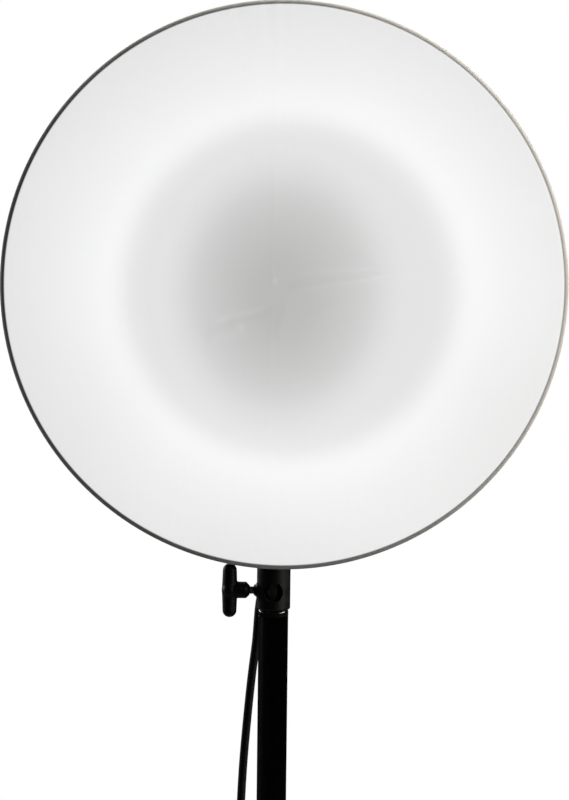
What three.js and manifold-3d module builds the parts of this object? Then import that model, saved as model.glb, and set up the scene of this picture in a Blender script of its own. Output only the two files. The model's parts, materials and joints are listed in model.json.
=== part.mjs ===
import * as THREE from 'three';
import Module from 'manifold-3d';

const wasm = await Module();
wasm.setup();

// ---- Driving dimensions, mm. +Z up, floor at z = 0, the lamp faces -Y. ----
const GAP = 0.3;            // between pieces that touch

// Stand axis, set so that the footprint is centred on the origin
const STAND_Y = -90.6;

// Lamp head: an 18 inch ring lamp, its centre measured from the stand axis
const HEAD_X = 6.5;
const HEAD_Z = 1150;
const CLOTH_R = 228;
const CLOTH_FRONT_Y = -90;
const CLOTH_T = 0.6;
const CLOTH_EDGE_R = 5;
const CLOTH_END_Y = -34;
const HOUSING_R = 227;
const HOLE_R = 139;
const PAN_BACK_Y = -28;
const WALL = 2;
const PAN_SIDES = 56;
const TUBE_R = 8;           // T5 ring tubes
const TUBE_RINGS = { outer: 200, inner: 163 };
const TUBE_Y = -62;
const TUBE_GAP = 32.8;      // bridged by the lamp base
const CLIP_AZIMUTHS = [90, 210, 330];

// Control box on the lower back of the ring
const BOX_HALF_W = 75;
const BOX_Z0 = -190;
const BOX_Z1 = -135;
const BOX_BACK_Y = 26;
const BOX_WALL = 2.2;
const SWITCH_X = 26;
const SWITCH_W = 13;
const SWITCH_H = 18.8;
const GLAND_X = -8.5;       // from the lamp centre
const GLAND_Y = 20;
const GLAND_L = 13;
const LEAD_HOLE_R = 4.1;

// Tilt joint, on the stand axis
const PIVOT_Z = 934;
const TONGUE_T = 10;
const TONGUE_R = 12;
const BOLT_HOLE_R = 3.4;

// Socket with its cross hole and clamp screw
const SOCKET_R = 14.4;
const SOCKET_Z = 874;
const SOCKET_H = 39;
const BORE_R = 8.25;
const BORE_TOP = 28;
const CROSS_R = 8.15;
const CROSS_Z = 16.3;
const CLAMP_Z = 16;

// Mast and base tubes
const SPIGOT_R = 7.95;      // 5/8 inch
const MAST_TOP = 872.8;
const MAST_Z0 = 311;
const MAST_R = 12.5;
const MAST_IR = 11.3;
const BASE_Z0 = 82;
const BASE_Z1 = 618;
const BASE_R = 15;
const BASE_IR = 13.8;
const COLLAR_Z = 596;
const COLLAR_H = 54;
const COLLAR_R = 20;
const KNOB_R = 15;

// Folding legs
const LEG_ANGLE = 50;       // from vertical
const LEG_L = 430;          // pivot to foot
const LEG_STRUT_AT = 180;   // pivot to strut pin
const LEG_R = 33;
const LEG_W = 18;
const LEG_T = 10;
const LEG_WALL = 1.2;
const LEG_AZIMUTHS = [90, 210, 330];
const FOOT_R = 12;
const FOOT_Z = 11;
const HUB_R = 32;
const HUB_Z = 99.4;
const HUB_EAR_Y = [1.6, 5];
const STRUT_W = 10;
const STRUT_Y0 = 5.4;       // beside the leg
const STRUT_T = 3;
const PIN_R = 2.5;
const PIN_HOLE_R = 2.8;
const PIN_HEAD_R = 4.2;

// Mains lead
const LEAD_R = 3.7;
const COIL_X = -150;
const COIL_Y = 50;
const COIL_TURN_R = 50;     // outermost turn
const COIL_OUT_R = 53.9;
const COIL_IN_R = 26.6;
const COIL_H = 15.2;
const LEAD_LOW_Z = 3.9;

const deg = (a) => a * Math.PI / 180;
const SPIDER_Z = FOOT_Z + LEG_L * Math.cos(deg(LEG_ANGLE));

// ---- Materials ----
const finish = (color, roughness, metalness) =>
  new THREE.MeshStandardMaterial({ color, roughness, metalness });
const blackPlastic = finish(0x17171a, 0.5, 0);
const blackShell = finish(0x1b1b1d, 0.6, 0);
const whiteEnamel = finish(0xf1f1ec, 0.35, 0.1);
const tubeGlass = finish(0xf7f7f2, 0.3, 0);
const whitePlastic = finish(0xe6e6e0, 0.5, 0);
const cloth = finish(0xf2f2ee, 0.9, 0);
const elastic = finish(0xe2e2dc, 0.9, 0);
const steel = finish(0x9a9a9c, 0.3, 1);
const blackPaint = finish(0x131315, 0.4, 0.2);
const alloy = finish(0x8b8b88, 0.35, 1);
const rubber = finish(0x1c1c1d, 0.85, 0);
const brass = finish(0xb08d4a, 0.3, 1);
const canMetal = finish(0xc9cacb, 0.5, 0.6);
const glossPlastic = finish(0x222226, 0.35, 0);

// ---- Solids ----
// Merges the corners of a closed geometry and turns its triangles outwards.
function weld(geometry) {
  const source = geometry.index ? geometry.toNonIndexed() : geometry;
  const position = source.attributes.position;
  const known = new Map();
  const verts = [];
  const tris = [];
  const corner = (i) => {
    const v = [position.getX(i), position.getY(i), position.getZ(i)];
    const key = v.map((c) => Math.round(c * 2000)).join(',');
    if (!known.has(key)) {
      known.set(key, verts.length / 3);
      verts.push(...v);
    }
    return known.get(key);
  };
  for (let i = 0; i < position.count; i += 3) {
    const t = [corner(i), corner(i + 1), corner(i + 2)];
    if (new Set(t).size === 3) tris.push(t);
  }
  const point = (k) => new THREE.Vector3().fromArray(verts, 3 * k);
  const volume = tris.reduce((sum, [a, b, c]) => sum + point(a).dot(point(b).cross(point(c))), 0);
  if (volume < 0) tris.forEach((t) => t.reverse());
  return { verts, tris: tris.flat() };
}

function solid(geometry) {
  const { verts, tris } = weld(geometry);
  return new wasm.Manifold(new wasm.Mesh({
    numProp: 3,
    vertProperties: new Float32Array(verts),
    triVerts: new Uint32Array(tris),
  }));
}

function toGeometry(made) {
  const mesh = made.getMesh();
  const geometry = new THREE.BufferGeometry();
  geometry.setAttribute('position', new THREE.Float32BufferAttribute(mesh.vertProperties, 3));
  geometry.setIndex(Array.from(mesh.triVerts));
  return geometry;
}

const join = (...parts) => toGeometry(parts.map(solid).reduce((a, b) => a.add(b)));
const cut = (body, ...tools) => toGeometry(tools.map(solid).reduce((a, b) => a.subtract(b), solid(body)));

function piece(parent, name, geometry, material) {
  const { verts, tris } = weld(geometry);
  const welded = new THREE.BufferGeometry();
  welded.setAttribute('position', new THREE.Float32BufferAttribute(verts, 3));
  welded.setIndex(tris);
  const flat = welded.toNonIndexed();
  flat.computeVertexNormals();
  const mesh = new THREE.Mesh(flat, material);
  mesh.name = name;
  parent.add(mesh);
  return mesh;
}

function groupIn(parent, x, y, z) {
  const group = new THREE.Group();
  group.position.set(x, y, z);
  parent.add(group);
  return group;
}

// ---- Outlines: lists of [x, y] ----
function arc(cx, cy, r, from, to, steps) {
  return Array.from({ length: steps + 1 }, (_, k) => {
    const a = deg(from + (to - from) * k / steps);
    return [cx + r * Math.cos(a), cy + r * Math.sin(a)];
  });
}

const roundedBox = (x0, x1, y0, y1, r, steps = 3) => [
  ...arc(x1 - r, y0 + r, r, -90, 0, steps),
  ...arc(x1 - r, y1 - r, r, 0, 90, steps),
  ...arc(x0 + r, y1 - r, r, 90, 180, steps),
  ...arc(x0 + r, y0 + r, r, 180, 270, steps),
];

const flatOval = (width, thickness, steps = 4) => [
  ...arc(width / 2 - thickness / 2, 0, thickness / 2, -90, 90, steps),
  ...arc(thickness / 2 - width / 2, 0, thickness / 2, 90, 270, steps),
];

const lobed = (r, count, depth) => Array.from({ length: 30 }, (_, k) => {
  const a = 2 * Math.PI * k / 30;
  const reach = r * (1 + depth * Math.cos(count * a));
  return [reach * Math.cos(a), reach * Math.sin(a)];
});

// ---- Shapes ----
// An outline extruded along +Z. Holes are [x, y, radius, sides].
function slab(outline, depth, holes = [], bevel = 0) {
  const shape = new THREE.Shape(outline.map((p) => new THREE.Vector2(...p)));
  for (const [x, y, r, sides] of holes) {
    const edge = arc(x, y, r, 360, 0, sides).slice(0, -1);
    shape.holes.push(new THREE.Path(edge.map((p) => new THREE.Vector2(...p))));
  }
  const rounding = { bevelThickness: bevel, bevelSize: bevel, bevelOffset: -bevel, bevelSegments: 1 };
  const settings = { depth: depth - 2 * bevel, bevelEnabled: bevel > 0, ...rounding };
  return new THREE.ExtrudeGeometry(shape, settings).translate(0, 0, bevel);
}

// The same with its outline in X and Z, from y0 to y1
const slabXZ = (outline, y0, y1, holes = [], bevel = 0) =>
  slab(outline, y1 - y0, holes, bevel).rotateX(Math.PI / 2).translate(0, y1, 0);

// The same with its outline in Y and Z, from x0 to x1
const slabYZ = (outline, x0, x1, holes = [], bevel = 0) =>
  slab(outline, x1 - x0, holes, bevel).rotateX(Math.PI / 2).rotateZ(Math.PI / 2).translate(x0, 0, 0);

const box = (x0, x1, y0, y1, z0, z1) =>
  new THREE.BoxGeometry(x1 - x0, y1 - y0, z1 - z0)
    .translate((x0 + x1) / 2, (y0 + y1) / 2, (z0 + z1) / 2);

// A cylinder or cone of radius r to rEnd, from a to b along an axis
const rodY = (a, b, r, sides = 16, rEnd = r) =>
  new THREE.CylinderGeometry(rEnd, r, b - a, sides).translate(0, (a + b) / 2, 0);
const rodZ = (a, b, r, sides = 16, rEnd = r) => rodY(a, b, r, sides, rEnd).rotateX(Math.PI / 2);
const rodX = (a, b, r, sides = 16, rEnd = r) => rodY(a, b, r, sides, rEnd).rotateZ(-Math.PI / 2);

// A profile of [radius, height] turned about Y, Z or X; a ring closes on itself
const turnY = (profile, sides) =>
  new THREE.LatheGeometry(profile.map((p) => new THREE.Vector2(...p)), sides);
const turnZ = (profile, sides) => turnY(profile, sides).rotateX(Math.PI / 2);
const turnX = (profile, sides) => turnY(profile, sides).rotateZ(-Math.PI / 2);
const closed = (profile) => [...profile, profile[0]];

function sweep(curve, r, steps, sides) {
  const edge = arc(0, 0, r, 0, 360, sides).slice(0, -1);
  const section = new THREE.Shape(edge.map((p) => new THREE.Vector2(...p)));
  return new THREE.ExtrudeGeometry(section, { steps, extrudePath: curve, bevelEnabled: false });
}

const object = new THREE.Group();
const stand = groupIn(object, 0, STAND_Y, 0);
const head = groupIn(stand, HEAD_X, 0, HEAD_Z);

// ---- Lamp head ----
function housing() {
  const lip = arc(CLOTH_R - CLOTH_EDGE_R, CLOTH_FRONT_Y + CLOTH_EDGE_R, CLOTH_EDGE_R - 1, 0, -90, 3);
  const profile = [
    [HOLE_R, PAN_BACK_Y - WALL],
    [HOLE_R + WALL, PAN_BACK_Y],
    [HOUSING_R - 3, PAN_BACK_Y],
    [HOUSING_R, PAN_BACK_Y - 3],
    ...lip,
    [HOUSING_R - 5.4, CLOTH_FRONT_Y + 2.4],
    [HOUSING_R - WALL, CLOTH_FRONT_Y + 6],
    [HOUSING_R - WALL, PAN_BACK_Y - 4],
    [HOUSING_R - 4, PAN_BACK_Y - WALL],
    [HOLE_R + WALL, PAN_BACK_Y - WALL],
    [HOLE_R + WALL, CLOTH_FRONT_Y + 1.4],
    [HOLE_R, CLOTH_FRONT_Y + 1.4],
  ];
  piece(head, 'housing_shell', turnY(closed(profile), PAN_SIDES), blackShell);
}

function reflector() {
  const back = PAN_BACK_Y - WALL - 0.4;
  const lipY = back - 19.6;
  const sheet = 0.9;
  const profile = [
    [HOLE_R + 11, back],
    [HOUSING_R - 11, back],
    [HOUSING_R - 3.4, lipY],
    [HOUSING_R - 4.3, lipY],
    [HOUSING_R - 11.7, back - sheet],
    [HOLE_R + 11.7, back - sheet],
    [HOLE_R + 4.5, lipY],
    [HOLE_R + 3.6, lipY],
  ];
  piece(head, 'reflector_pan', turnY(closed(profile), 40), whiteEnamel);
}

// A ring about Y, open at the bottom
class RingTube extends THREE.Curve {
  constructor(r) {
    super();
    this.r = r;
  }

  getPoint(t, target = new THREE.Vector3()) {
    const open = TUBE_GAP / this.r;
    const a = (open - Math.PI) / 2 + t * (2 * Math.PI - open);
    return target.set(this.r * Math.cos(a), TUBE_Y, this.r * Math.sin(a));
  }
}

function ringTubes() {
  for (const [name, r] of Object.entries(TUBE_RINGS)) {
    piece(head, `tube_${name}`, sweep(new RingTube(r), TUBE_R, 36, 8), tubeGlass);
    const base = slabXZ(roundedBox(-15.5, 15.5, -r - 9.5, -r + 9.5, 3), TUBE_Y - 9.5, TUBE_Y + 9.5);
    piece(head, `lamp_base_${name}`, base, whitePlastic);
  }
  const holder = roundedBox(-13, 13, -TUBE_RINGS.outer - 7, -TUBE_RINGS.inner + 7, 3);
  piece(head, 'lampholder_block', slabXZ(holder, TUBE_Y + 9.8, PAN_BACK_Y - 4.4), whitePlastic);
}

// A strip with a sprung cup for each tube
function tubeClips() {
  const width = 9;
  const footY = [-33.6, -31.8];
  const strip = roundedBox(TUBE_RINGS.inner - 6, TUBE_RINGS.outer + 6, ...footY, 0.6, 1);
  const cups = Object.values(TUBE_RINGS).flatMap((r) => [
    slab([...arc(r, TUBE_Y, 10.8, -35, 215, 9), ...arc(r, TUBE_Y, 9.3, 215, -35, 9)], width),
    slab([[r - 1.6, TUBE_Y + 10], [r + 1.6, TUBE_Y + 10], [r + 1.6, -32.6], [r - 1.6, -32.6]], width),
  ]);
  CLIP_AZIMUTHS.forEach((azimuth, i) => {
    const shape = join(slab(strip, width), ...cups).translate(0, 0, -width / 2);
    piece(head, `tube_clip_${i + 1}`, shape, whitePlastic).rotation.y = -deg(azimuth);
  });
}

// A stretch cup over the housing, with a ring of elastic behind it
function diffuser() {
  const bend = (r, from, to) =>
    arc(CLOTH_R - CLOTH_EDGE_R, CLOTH_FRONT_Y + CLOTH_EDGE_R, r, from, to, 3);
  const cup = [
    [0, CLOTH_FRONT_Y],
    ...bend(CLOTH_EDGE_R, -90, 0),
    [CLOTH_R, CLOTH_END_Y],
    [CLOTH_R - CLOTH_T, CLOTH_END_Y],
    ...bend(CLOTH_EDGE_R - CLOTH_T, 0, -90),
    [0, CLOTH_FRONT_Y + CLOTH_T],
  ];
  piece(head, 'diffuser_cloth', turnY(cup, PAN_SIDES), cloth);
  const hem = [
    [CLOTH_R - CLOTH_T, CLOTH_END_Y + 0.4],
    [CLOTH_R + 1.4, CLOTH_END_Y + 0.4],
    [CLOTH_R + 2.2, CLOTH_END_Y + 2.5],
    [CLOTH_R + 1.4, CLOTH_END_Y + 4.6],
    [CLOTH_R - CLOTH_T, CLOTH_END_Y + 4.6],
  ];
  piece(head, 'elastic_hem', turnY(closed(hem), PAN_SIDES), elastic);
}

// ---- Control box: a cover, two ballasts, two rocker switches and a gland ----
function controlBox() {
  const outline = roundedBox(-BOX_HALF_W, BOX_HALF_W, BOX_Z0, BOX_Z1, 7, 4);
  const cover = slabXZ(outline, PAN_BACK_Y + GAP, BOX_BACK_Y, [], 1.6);
  const inside = box(
    BOX_WALL - BOX_HALF_W, BOX_HALF_W - BOX_WALL,
    PAN_BACK_Y - 5, BOX_BACK_Y - BOX_WALL,
    BOX_Z0 + BOX_WALL, BOX_Z1 - BOX_WALL,
  );
  const middleZ = (BOX_Z0 + BOX_Z1) / 2;
  const window = (x) => box(
    x - SWITCH_W / 2 - 0.5, x + SWITCH_W / 2 + 0.5,
    BOX_BACK_Y - 5, BOX_BACK_Y + 5,
    middleZ - SWITCH_H / 2 - 0.7, middleZ + SWITCH_H / 2 + 0.7,
  );
  const leadHole = rodZ(BOX_Z0 - 5, BOX_Z0 + 5, LEAD_HOLE_R).translate(GLAND_X, GLAND_Y, 0);
  const made = cut(cover, inside, window(-SWITCH_X), window(SWITCH_X), leadHole);
  piece(head, 'control_box', made, blackPlastic);

  const half = SWITCH_H / 2;
  const rocker = [
    [-6, -half + 0.8], [0.6, -half], [2.4, -half], [1, 0],
    [2.4, half], [0.6, half], [-6, half - 0.8],
  ];
  const can = roundedBox(-32, 32, BOX_Z0 + 8, BOX_Z1 - 8, 2, 2);
  [-1, 1].forEach((side, i) => {
    const toggle = slabYZ(rocker, -SWITCH_W / 2, SWITCH_W / 2);
    piece(head, `rocker_switch_${i + 1}`, toggle, glossPlastic)
      .position.set(side * SWITCH_X, BOX_BACK_Y, middleZ);
    piece(head, `ballast_${i + 1}`, slabXZ(can, -27.2, -1.2), canMetal)
      .position.x = side * 34;
  });

  const gland = [
    [4, -GLAND_L], [5, -GLAND_L], [6.2, -7], [7.4, -6.6],
    [7.4, -1], [6.8, -GAP], [4, -GAP],
  ];
  piece(head, 'cable_gland', turnZ(closed(gland), 20), blackPlastic)
    .position.set(GLAND_X, GLAND_Y, BOX_Z0);
}

// ---- Tilt bracket: one ear beside the tongue, on a foot screwed to the housing ----
function tiltBracket() {
  const tilt = groupIn(stand, 0, 0, PIVOT_Z);
  const earX = TONGUE_T / 2 + 0.4;
  const footY = [PAN_BACK_Y + GAP, PAN_BACK_Y + 2.9];
  const ear = [
    [footY[0], -5], [-6, -10.4],
    ...arc(0, 0, TONGUE_R, -120, 120, 12),
    [-6, TONGUE_R], [footY[0], 22],
  ];
  const screws = [-9, 20];
  const screwZ = 12;
  const holes = screws.map((x) => [x, screwZ, 2.4, 16]);
  const foot = slabXZ(roundedBox(-15, 26, -6, 24, 3), ...footY, holes);
  const plate = slabYZ(ear, earX, earX + 3, [[0, 0, BOLT_HOLE_R, 16]]);
  piece(tilt, 'tilt_bracket', join(plate, foot), blackPaint);

  const screwProfile = [[0, 0], [4, 0], [4, 1.2], [2.6, 2.6], [0, 2.6]];
  screws.forEach((x, i) => {
    piece(tilt, `bracket_screw_${i + 1}`, turnY(screwProfile, 14), steel)
      .position.set(x, footY[1] + GAP, screwZ);
  });
  const bolt = [[0, -9.2], [3.1, -9.2], [3.1, 8.7], [6.5, 8.7], [6.5, 13.5], [5.9, 14], [0, 14]];
  piece(tilt, 'tilt_bolt', turnX(bolt, 18), steel);

  // A knob whose blind bore takes the end of the bolt
  const grip = slabYZ(lobed(12.6, 6, 0.07), -23, -11, [], 1.2);
  const neck = rodX(-12, -5.7, 7.5, 20);
  const knob = cut(join(grip, neck), rodX(-10, -4, 3.5));
  piece(tilt, 'tilt_knob', knob, blackPlastic);
}

// ---- Socket: clamps the spigot, and carries the tilt joint on its tongue ----
function socket() {
  const holder = groupIn(stand, 0, 0, SOCKET_Z);
  const pivot = PIVOT_Z - SOCKET_Z;
  const barrel = [
    [0, 0], [SOCKET_R - 1, 0], [SOCKET_R, 1],
    [SOCKET_R, SOCKET_H - 1.4], [SOCKET_R - 1.4, SOCKET_H], [0, SOCKET_H],
  ];
  const tongue = [
    [-TONGUE_R, SOCKET_H - 4], [TONGUE_R, SOCKET_H - 4],
    ...arc(0, pivot, TONGUE_R, 0, 180, 12),
  ];
  const body = join(
    turnZ(barrel, 30),
    slabYZ(tongue, -TONGUE_T / 2, TONGUE_T / 2),
    rodX(-17, -12, 4.6, 16, 8).translate(0, 0, CLAMP_Z),
  );
  const made = cut(
    body,
    rodZ(-5, BORE_TOP, BORE_R, 24),
    rodY(-20, 20, CROSS_R, 20).translate(0, 0, CROSS_Z),
    rodX(-20, 0, 3.7).translate(0, 0, CLAMP_Z),
    rodX(-10, 10, BOLT_HOLE_R).translate(0, 0, pivot),
  );
  piece(holder, 'socket_body', made, blackPlastic);

  // Handle: an upright bar with an oval hub and a tapered boss on the clamp screw
  const clamp = groupIn(holder, 0, 0, CLAMP_Z);
  const barX = -37.2;
  const bar = turnZ([
    [0, -22.75],
    ...arc(0, -16.65, 6.1, -67, 0, 3),
    ...arc(0, 16.65, 6.1, 0, 67, 3),
    [0, 22.75],
  ], 16).translate(barX, 0, 0);
  const hub = new THREE.SphereGeometry(1, 14, 8).scale(6.4, 7.8, 7.5).translate(barX, 0, 0);
  const boss = turnX([[0, -37], [6.8, -37], [6.8, -23.8], [3.9, -20.9], [0, -20.9]], 20);
  const handle = cut(join(bar, hub, boss), rodX(-30, -15, 3.6));
  piece(clamp, 't_handle', handle, blackPlastic);
  piece(clamp, 'clamp_screw', rodX(-29.6, -8.4, 3.3, 18), brass);
}

// ---- Mast ----
function mast() {
  const top = groupIn(stand, 0, 0, MAST_TOP);
  const spigot = [
    [0, -25], [4.6, -25], [4.6, GAP], [9.6, GAP], [9.6, 0.9], [SPIGOT_R, 0.9],
    [SPIGOT_R, 26], [SPIGOT_R - 1.2, 27.2], [0, 27.2],
  ];
  piece(top, 'spigot', turnZ(spigot, 20), alloy);
  const plug = [
    [5, -25], [MAST_IR - 0.5, -25], [MAST_IR - GAP, -4.6], [MAST_R + 0.1, -4.3],
    [MAST_R + 0.1, -0.8], [MAST_R - 0.7, 0], [5, 0],
  ];
  piece(top, 'mast_end_plug', turnZ(closed(plug), 24), blackPlastic);
  const wall = [
    [MAST_IR, MAST_Z0 - MAST_TOP], [MAST_R, MAST_Z0 - MAST_TOP], [MAST_R, -4.6], [MAST_IR, -4.6],
  ];
  piece(top, 'mast_tube', turnZ(closed(wall), 24), blackPaint);
}

// ---- Base tube, its end cap, and the collar that clamps the mast ----
// A lobed knob on a stud whose tip is at x = tip
function clampKnob(tip, x) {
  const grip = slabYZ(lobed(KNOB_R, 5, 0.09), x + 6, x + 18, [], 1.2);
  return join(grip, rodX(x, x + 8, 7.5, 20), rodX(tip, x + 2, 3, 14));
}

function baseTube() {
  const wall = [[BASE_IR, BASE_Z0], [BASE_R, BASE_Z0], [BASE_R, BASE_Z1], [BASE_IR, BASE_Z1]];
  piece(stand, 'base_tube', turnZ(closed(wall), 24), blackPaint);
  const cap = [[0, -4], [14, -4], [15, -2.5], [15, -GAP], [13.4, -GAP], [13.4, 8], [0, 8]];
  piece(stand, 'base_end_cap', turnZ(cap, 16), blackPlastic).position.z = BASE_Z0;

  const collar = groupIn(stand, 0, 0, COLLAR_Z);
  const knobZ = 38;
  const stepZ = BASE_Z1 - COLLAR_Z + 0.4;
  const shape = [
    [BASE_R + GAP, 0], [COLLAR_R, 0], [COLLAR_R, COLLAR_H - 2], [COLLAR_R - 2, COLLAR_H],
    [MAST_R + 0.35, COLLAR_H], [MAST_R + 0.35, stepZ], [BASE_R + GAP, stepZ],
  ];
  const made = cut(
    join(turnZ(closed(shape), 24), rodX(14, 26, 8, 20).translate(0, 0, knobZ)),
    rodZ(-5, stepZ, BASE_R + GAP, 24),
    rodZ(stepZ - 1, COLLAR_H + 5, MAST_R + 0.35, 24),
    rodX(0, 30, 3.4).translate(0, 0, knobZ),
  );
  piece(collar, 'mast_collar', made, blackPlastic);
  piece(collar, 'collar_knob', clampKnob(MAST_R + 0.5, 26.4), blackPlastic).position.z = knobZ;
}

// ---- Tripod: a sliding collar above, a fixed hub below ----
// An ear standing out from the stand axis along +X
function earOut(r, y0, y1, reach) {
  const outline = [[14, -9], [r, -reach], ...arc(r, 0, reach, -60, 60, 3), [r, reach], [14, 9]];
  return slabXZ(outline, y0, y1, [[r, 0, PIN_HOLE_R, 8]]);
}

function slidingCollar() {
  const spider = groupIn(stand, 0, 0, SPIDER_Z);
  const knobZ = 8;
  const knobAzimuth = deg(30);
  const sleeve = [
    [BASE_R + GAP, -16], [COLLAR_R, -16], [COLLAR_R, 20], [COLLAR_R - 1.5, 22], [BASE_R + GAP, 22],
  ];
  const ears = LEG_AZIMUTHS.flatMap((azimuth) => [
    earOut(LEG_R, -8.6, -5.5, 7).rotateZ(deg(azimuth)),
    earOut(LEG_R, 5.5, 8.6, 7).rotateZ(deg(azimuth)),
  ]);
  const boss = rodX(16, 27, 8, 20).translate(0, 0, knobZ).rotateZ(knobAzimuth);
  const made = cut(
    join(turnZ(closed(sleeve), 24), boss, ...ears),
    rodZ(-30, 40, BASE_R + GAP, 24),
    rodX(0, 30, 3.4).translate(0, 0, knobZ).rotateZ(knobAzimuth),
  );
  piece(spider, 'spider_collar', made, blackPlastic);
  const knob = piece(spider, 'spider_knob', clampKnob(BASE_R + 0.5, 27.4), blackPlastic);
  knob.position.z = knobZ;
  knob.rotation.z = knobAzimuth;
}

function fixedHub() {
  const hub = groupIn(stand, 0, 0, HUB_Z);
  const ring = [
    [BASE_R + GAP, -13], [COLLAR_R, -13], [COLLAR_R + 1, -11], [COLLAR_R + 1, 13], [BASE_R + GAP, 15],
  ];
  const ears = LEG_AZIMUTHS.map((azimuth) => earOut(HUB_R, ...HUB_EAR_Y, 6).rotateZ(deg(azimuth)));
  const made = cut(join(turnZ(closed(ring), 24), ...ears), rodZ(-30, 30, BASE_R + GAP, 24));
  piece(hub, 'tripod_hub', made, blackPlastic);
}

// ---- Legs, struts, feet and pins, each set turned to its azimuth ----
// A riveted pin along Y from y0 to y1, with a head at each end
function pin(y0, y1) {
  return turnY([
    [0, y0 - 1.5], [PIN_HEAD_R, y0 - 1.2], [PIN_HEAD_R, y0 - GAP], [PIN_R, y0 - GAP],
    [PIN_R, y1 + GAP], [PIN_HEAD_R, y1 + GAP], [PIN_HEAD_R, y1 + 1.2], [0, y1 + 1.5],
  ], 8);
}

// A pin that ends clear of the strut beside it, whose own face carries the outer head
function stubPin(y0, y1) {
  return turnY([
    [0, y0 - 1.5], [PIN_HEAD_R, y0 - 1.2], [PIN_HEAD_R, y0 - GAP], [PIN_R, y0 - GAP],
    [PIN_R, y1], [0, y1],
  ], 8);
}

const alongLeg = (geometry) => geometry.rotateY(Math.PI - deg(LEG_ANGLE));

function legTube() {
  const outside = slab(flatOval(LEG_W, LEG_T), LEG_L + 0.6).translate(0, 0, -7);
  const inside = slab(flatOval(LEG_W - 2 * LEG_WALL, LEG_T - 2 * LEG_WALL), LEG_L + 40).translate(0, 0, -20);
  const hole = rodY(-10, 10, PIN_HOLE_R, 8);
  return cut(outside, inside, hole, hole.clone().translate(0, 0, LEG_STRUT_AT));
}

// A rubber boot over the end of the leg, cut flat where it meets the floor
function legFoot() {
  const boot = join(
    new THREE.SphereGeometry(FOOT_R, 12, 8).translate(0, 0, LEG_L),
    slab(flatOval(LEG_W + 4.6, LEG_T + 5), 28).translate(0, 0, LEG_L - 28),
  );
  const seat = slab(flatOval(LEG_W + 0.6, LEG_T + 0.6), 24).translate(0, 0, LEG_L - 30);
  const floor = box(-600, 600, -100, 100, -60, 0).translate(0, 0, -SPIDER_Z);
  return cut(alongLeg(cut(boot, seat)), floor);
}

function legs() {
  const strutPin = [
    LEG_R + LEG_STRUT_AT * Math.sin(deg(LEG_ANGLE)),
    SPIDER_Z - LEG_STRUT_AT * Math.cos(deg(LEG_ANGLE)),
  ];
  const run = strutPin[0] - HUB_R;
  const rise = strutPin[1] - HUB_Z;
  const length = Math.hypot(run, rise);
  const strip = [
    ...arc(length, 0, STRUT_W / 2, -90, 90, 5),
    ...arc(0, 0, STRUT_W / 2, 90, 270, 5),
  ];
  const holes = [[length, 0, PIN_HOLE_R, 8]];
  const strutY1 = STRUT_Y0 + STRUT_T;
  LEG_AZIMUTHS.forEach((azimuth, i) => {
    const side = groupIn(stand, 0, 0, 0);
    side.rotation.z = deg(azimuth);
    const k = i + 1;
    const put = (name, shape, material, x, z) => {
      const mesh = piece(side, `${name}_${k}`, shape, material);
      mesh.position.set(x, 0, z);
      return mesh;
    };
    put('leg', alongLeg(legTube()), blackPaint, LEG_R, SPIDER_Z);
    put('foot', legFoot(), rubber, LEG_R, SPIDER_Z);
    const lowHead = rodY(strutY1 - 1, strutY1 + 1.2, PIN_HEAD_R, 8);
    const strut = join(slabXZ(strip, STRUT_Y0, strutY1, holes), lowHead);
    put('brace', strut, blackPaint, HUB_R, HUB_Z).rotation.y = -Math.atan2(rise, run);
    put('leg_pin', pin(-8.6, 8.6), steel, LEG_R, SPIDER_Z);
    put('brace_top_pin', pin(-LEG_T / 2, strutY1), steel, strutPin[0], strutPin[1]);
    put('brace_low_pin', stubPin(HUB_EAR_Y[0], STRUT_Y0 - GAP), steel, HUB_R, HUB_Z);
  });
}

// ---- Mains lead: down the stand, a coil on the floor, a tail and a plug ----
const route = (points) =>
  new THREE.CatmullRomCurve3(points.map((p) => new THREE.Vector3(...p)), false, 'centripetal');

function mainsLead() {
  const entry = 28.2;       // where the outermost turn leaves the coil's outline
  const arriving = route([
    [HEAD_X + GLAND_X, GLAND_Y, HEAD_Z + BOX_Z0 - 1], [-2, 20, 941], [-5.5, 20.4, 908],
    [-12.2, 21, 876], [-14.9, 22, 842], [-18.5, 24, 811], [-22.2, 26, 772], [-25.7, 28, 726],
    [-28, 31, 670], [-31.2, 38, 560], [-36, 46, 450], [-44, 56, 330], [-54, 67, 210],
    [-66, 80, 112], [-78, 90, 46], [-91, 96, 17], [-105, 99.2, 6.2],
    [COIL_X + entry, COIL_Y + COIL_TURN_R, LEAD_LOW_Z],
  ]);
  piece(stand, 'mains_lead', sweep(arriving, LEAD_R, 64, 8), rubber);

  const ringSection = [[COIL_IN_R, 0.1], [COIL_OUT_R, 0.1], [COIL_OUT_R, COIL_H], [COIL_IN_R, COIL_H]];
  piece(stand, 'lead_coil', turnZ(closed(ringSection), 32), rubber)
    .position.set(COIL_X, COIL_Y, 0);

  const plugZ = 9.2;
  const tailX = COIL_X - COIL_TURN_R;
  const plugY = COIL_Y - 64;
  const leaving = route([
    [tailX, COIL_Y - entry, 11.4], [tailX - 0.6, COIL_Y - 40, 10.3],
    [tailX - 1.4, COIL_Y - 52, plugZ + 0.2], [tailX - 2, plugY, plugZ],
  ]);
  piece(stand, 'lead_tail', sweep(leaving, LEAD_R, 5, 8), rubber);

  const plug = groupIn(stand, tailX - 2, plugY - GAP, plugZ);
  const body = join(
    slabXZ(roundedBox(-12, 12, -9.1, 9.1, 4), -42, -12, [], 1.4),
    rodY(-13, 0, 5.5),
  );
  piece(plug, 'plug_body', body, rubber);
  [-1, 1].forEach((side, i) => {
    const blade = box(-0.75, 0.75, -58.6, -42.3, -3.15, 3.15);
    piece(plug, `plug_blade_${i + 1}`, blade, brass).position.x = side * 6.35;
  });
}

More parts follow.
